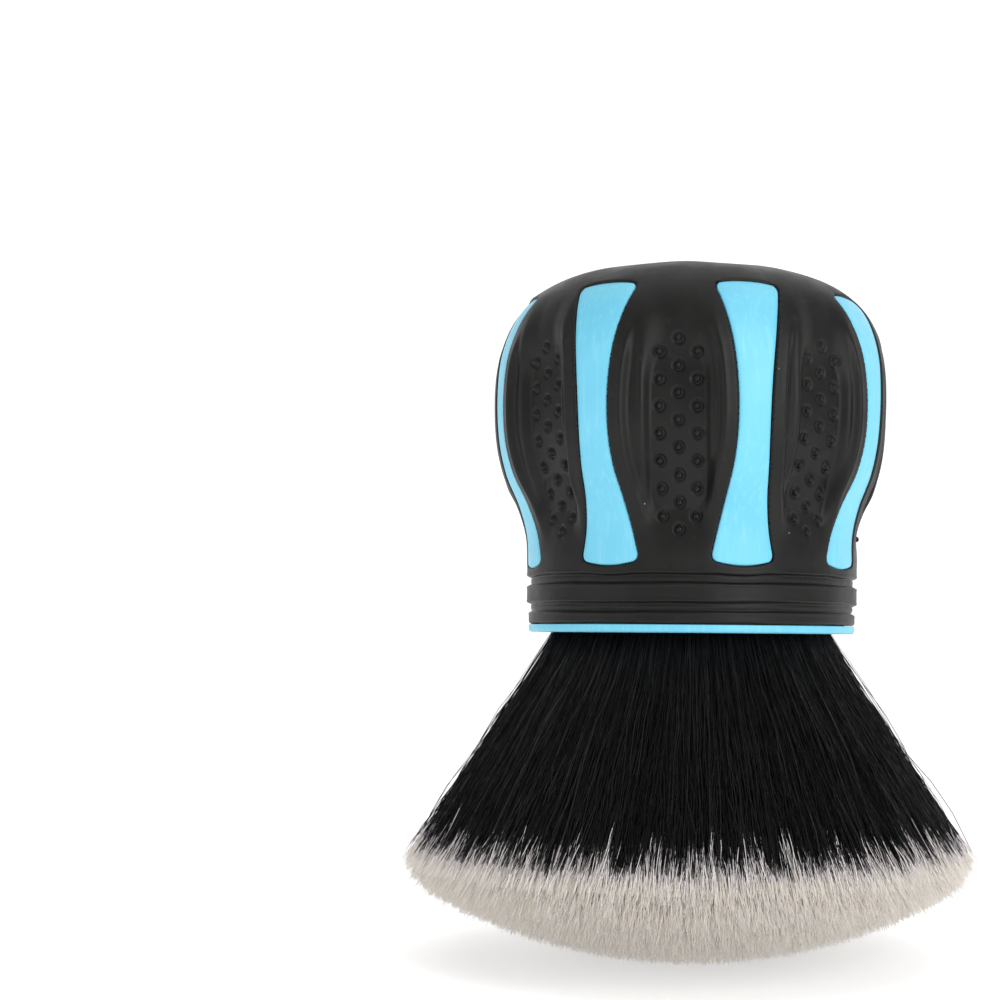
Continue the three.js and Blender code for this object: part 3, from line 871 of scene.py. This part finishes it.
def inner_material(name, dark, light, roughness, size, grain=(1, 1, 1)):
    """A cloudy, slightly uneven finish for the pieces inside the grip."""
    m = Material(name, light, roughness)
    m.colour(m.mix(m.clouds(size, 4, grain), dark, light))
    m.roughness(m.noise(size * 0.7, 3), roughness - 0.06, roughness + 0.08)
    m.normal(m.bump(m.noise(size * 0.15, 3, scale=grain), 0.03))
    return m.data


def paper_material():
    m = Material("studio_paper", (0.9, 0.9, 0.9), 0.9, specular=0.1)
    m.colour(m.mix(m.noise(60, 2), (0.88, 0.88, 0.88), (0.92, 0.92, 0.92)))
    m.shader.inputs["Emission Color"].default_value = (1, 1, 1, 1)
    m.shader.inputs["Emission Strength"].default_value = 0.5
    return m.data


def dress(obj, *materials):
    for material in materials:
        obj.data.materials.append(material)


def dress_node(node, material):
    for material_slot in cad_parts[node].material_slots:
        material_slot.material = material


# ---- Stage, light and camera ------------------------------------------------------------------


def backdrop():
    """A wide floor that sweeps up behind the brush in one curve, in metres."""
    front, back, bend, top, half = -3.0, 0.9, 0.5, 1.8, 3.0
    arc = np.linspace(0, math.pi / 2, 17)
    bent = np.stack([back + bend * np.sin(arc), bend * (1 - np.cos(arc))], -1)
    curve = np.vstack([[(front, 0)], bent, [(back + bend, top)]])
    points = np.array([(x, y, z) for y, z in curve for x in (half, -half)]) / MM
    quads = np.array([(2 * k, 2 * k + 2, 2 * k + 3, 2 * k + 1) for k in range(len(curve) - 1)])
    sweep = new_object("studio_sweep", points, quads)
    dress(sweep, paper_material())


def aim(obj, target):
    direction = Vector(target) - obj.location
    obj.rotation_euler = direction.to_track_quat("-Z", "Y").to_euler()


def area_light(name, place_m, target, size, power):
    light = bpy.data.lights.new(name, "AREA")
    light.shape = "RECTANGLE"
    light.size, light.size_y = size
    light.energy = power
    obj = bpy.data.objects.new(name, light)
    obj.location = place_m
    bpy.context.scene.collection.objects.link(obj)
    aim(obj, target)


def lighting():
    grip = (0, 0, 0.08)
    area_light("key_softbox", (0.42, -0.46, 0.3), grip, (0.34, 0.5), 1.85)
    area_light("fill_softbox", (-0.55, -0.35, 0.22), grip, (0.4, 0.5), 0.45)
    area_light("overhead_softbox", (0.0, -0.05, 0.8), grip, (0.9, 0.9), 1.7)
    world = bpy.data.worlds.new("studio")
    world.use_nodes = True
    background = world.node_tree.nodes["Background"]
    background.inputs["Color"].default_value = (1, 1, 1, 1)
    background.inputs["Strength"].default_value = 0.4
    bpy.context.scene.world = world
    bpy.context.scene.view_settings.view_transform = "Standard"


def camera():
    """Level with the foot of the grip, just right of the front lobe, close enough to show depth."""
    data = bpy.data.cameras.new("camera")
    data.lens = 66.5
    data.sensor_width = 36.0
    data.shift_x, data.shift_y = -0.1915, 0.135
    data.clip_start = 0.01
    obj = bpy.data.objects.new("camera", data)
    azimuth, roll = math.radians(5.75), math.radians(0.45)
    distance, height = 0.288, 0.0497
    obj.location = (distance * math.sin(azimuth), -distance * math.cos(azimuth), height)
    level = Vector((-math.sin(azimuth), math.cos(azimuth), 0)).to_track_quat("-Z", "Y")
    obj.rotation_euler = (level.to_matrix() @ Matrix.Rotation(roll, 3, "Z")).to_euler()
    bpy.context.scene.collection.objects.link(obj)
    bpy.context.scene.camera = obj


# ---- Assembly ---------------------------------------------------------------------------------


def add_piece(piece, slot, *materials):
    dress(piece, *materials)
    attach(piece, BODY)


camera()
lighting()
backdrop()

sleeve = grip_sleeve()
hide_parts("grip_sleeve")
add_piece(sleeve, "grip_rubber", rubber_material())

core = handle_core()
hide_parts("handle_core")
add_piece(core, "core_plastic", plastic_material())

filament_finishes = filament_materials()
for piece in filament_bundle():
    add_piece(piece, "filament", *filament_finishes)

cup_finish = inner_material("cup_plastic", (0.02, 0.02, 0.021), (0.04, 0.04, 0.042), 0.5, 3)
resin_finish = inner_material("resin", (0.45, 0.33, 0.12), (0.62, 0.5, 0.26), 0.2, 2.5)
adhesive_finish = inner_material("adhesive", (0.7, 0.66, 0.55), (0.84, 0.81, 0.72), 0.42, 1.5)
band_finish = inner_material("band", (0.5, 0.48, 0.43), (0.74, 0.72, 0.66), 0.75, 0.4, (1, 1, 5))
dress_node("tuft_cup", cup_finish)
dress_node("resin_plug", resin_finish)
dress_node("adhesive_bead", adhesive_finish)
dress_node("binding_band", band_finish)
